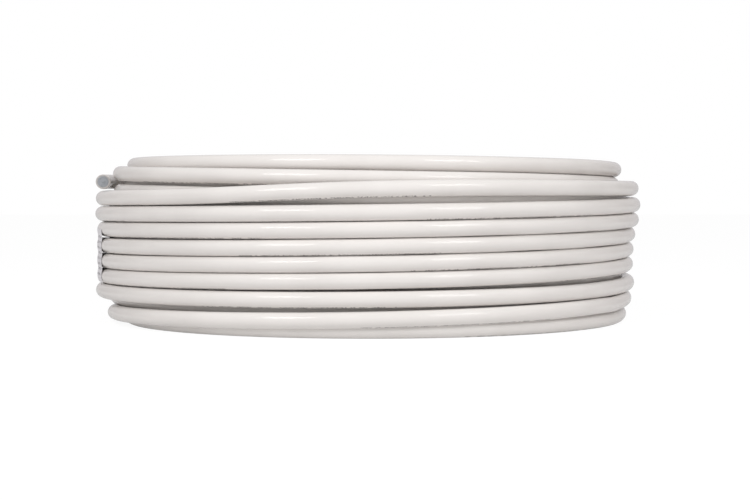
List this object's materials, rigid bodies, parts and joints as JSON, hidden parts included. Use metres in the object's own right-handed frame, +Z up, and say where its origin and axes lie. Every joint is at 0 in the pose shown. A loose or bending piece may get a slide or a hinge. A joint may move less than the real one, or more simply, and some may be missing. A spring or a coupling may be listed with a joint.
{
  "type": "multilayer pipe coil",
  "caption": "Coil of white multilayer heating pipe lying flat, wound in nested layers round an open eye, with a plugged free end and a stuck-on label.",
  "frame": {"origin": "on the coil's axis, in the plane of the floor it lies on", "axes": "+Z up along the coil's axis; the free end lies at the -X side and points along -Y, which is the front"},
  "size_m": [0.5902, 0.5898, 0.1737],
  "materials": {
    "pipe_white": "smooth glossy white polyethylene",
    "plug_grey": "satin blue-grey plastic",
    "label_paper": "semi-matt printed film"
  },
  "bodies": {
    "root": {"pipe_coil": "pipe_white", "end_plug": "plug_grey", "label": "label_paper"}
  },
  "joints": []
}
